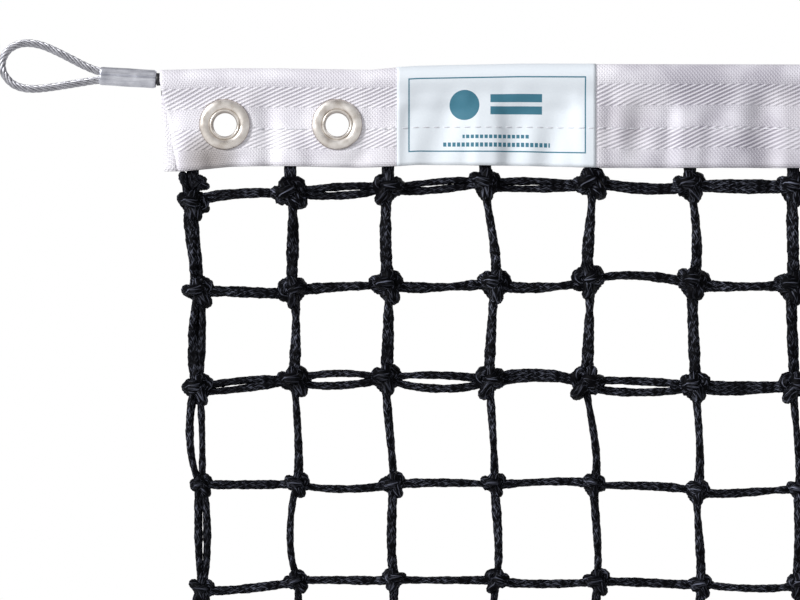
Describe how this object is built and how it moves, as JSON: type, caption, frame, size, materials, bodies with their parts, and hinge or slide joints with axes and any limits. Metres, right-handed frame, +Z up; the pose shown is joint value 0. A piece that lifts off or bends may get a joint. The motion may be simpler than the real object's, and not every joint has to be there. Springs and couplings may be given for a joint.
{
  "type": "tennis net",
  "caption": "Knotted black tennis net hung from a folded white headband over a jacketed wire rope with swaged end eyes; grommets at both band ends.",
  "frame": {"origin": "under the middle of the net, level with the lowest twine", "axes": "+X along the net, front (label side) towards -Y, +Z up"},
  "size_m": [12.9992, 0.0122, 1.0824],
  "materials": {
    "wire_rope": "bright galvanised strands, slightly dulled",
    "rope_jacket": "black extruded PVC",
    "ferrule": "pressed, dull, with die lines",
    "headband": "white herringbone polyester webbing, faintly lavender",
    "label": "off-white satin label cloth with a printed teal border",
    "thread": "white polyester sewing thread",
    "grommet": "nickel-plated brass, polished, small dents",
    "net_twine": "blue-black braided polyethylene twine, weather-set knots"
  },
  "bodies": {
    "cable": {"rope_run": "wire_rope", "rope_jacket": "rope_jacket"},
    "left_eye": {"left_eye_rope": "wire_rope", "left_ferrule": "ferrule"},
    "right_eye": {"right_eye_rope": "wire_rope", "right_ferrule": "ferrule"},
    "headband": {"headband": "headband", "label": "label", "front_seam_thread": "thread", "back_seam_thread": "thread", "left_outer_eyelet": "grommet", "left_outer_washer": "grommet", "left_inner_eyelet": "grommet", "left_inner_washer": "grommet", "right_inner_eyelet": "grommet", "right_inner_washer": "grommet", "right_outer_eyelet": "grommet", "right_outer_washer": "grommet", "head_twine": "net_twine", "stub_twines": "net_twine", "top_row_upper_twine": "net_twine", "top_row_lower_twine": "net_twine"},
    "net_1": {"row_twine_1": "net_twine", "row_twine_2": "net_twine", "row_twine_3": "net_twine", "row_twine_4": "net_twine", "second_row_double": "net_twine", "drop_twines_1": "net_twine", "side_selvages_1": "net_twine"},
    "net_2": {"row_twine_5": "net_twine", "row_twine_6": "net_twine", "row_twine_7": "net_twine", "row_twine_8": "net_twine", "drop_twines_2": "net_twine", "side_selvages_2": "net_twine"},
    "net_3": {"row_twine_9": "net_twine", "row_twine_10": "net_twine", "row_twine_11": "net_twine", "row_twine_12": "net_twine", "drop_twines_3": "net_twine", "side_selvages_3": "net_twine"},
    "net_4": {"row_twine_13": "net_twine", "row_twine_14": "net_twine", "row_twine_15": "net_twine", "row_twine_16": "net_twine", "drop_twines_4": "net_twine", "side_selvages_4": "net_twine"},
    "net_5": {"row_twine_17": "net_twine", "row_twine_18": "net_twine", "row_twine_19": "net_twine", "row_twine_20": "net_twine", "foot_twine": "net_twine", "drop_twines_5": "net_twine", "side_selvages_5": "net_twine"}
  },
  "joints": [
    {"name": "left_eye_flex", "type": "hinge", "parent": "cable", "child": "left_eye", "pos_m": [-6.419, 0, 1.06225], "axis": [0, 1, 0], "range_deg": [-15, 15], "stiffness_Nm_per_rad": 0.6},
    {"name": "right_eye_flex", "type": "hinge", "parent": "cable", "child": "right_eye", "pos_m": [6.419, 0, 1.06225], "axis": [0, 1, 0], "range_deg": [-15, 15], "stiffness_Nm_per_rad": 0.6},
    {"name": "headband_swing", "type": "hinge", "parent": "cable", "child": "headband", "pos_m": [0, 0, 1.06225], "axis": [1, 0, 0], "range_deg": [-80, 80]},
    {"name": "net_fold_1", "type": "hinge", "parent": "headband", "child": "net_1", "pos_m": [0, 0, 1.006], "axis": [1, 0, 0], "range_deg": [-60, 60]},
    {"name": "net_fold_2", "type": "hinge", "parent": "net_1", "child": "net_2", "pos_m": [0, 0, 0.806], "axis": [1, 0, 0], "range_deg": [-60, 60]},
    {"name": "net_fold_3", "type": "hinge", "parent": "net_2", "child": "net_3", "pos_m": [0, 0, 0.606], "axis": [1, 0, 0], "range_deg": [-60, 60]},
    {"name": "net_fold_4", "type": "hinge", "parent": "net_3", "child": "net_4", "pos_m": [0, 0, 0.406], "axis": [1, 0, 0], "range_deg": [-60, 60]},
    {"name": "net_fold_5", "type": "hinge", "parent": "net_4", "child": "net_5", "pos_m": [0, 0, 0.206], "axis": [1, 0, 0], "range_deg": [-60, 60]}
  ]
}
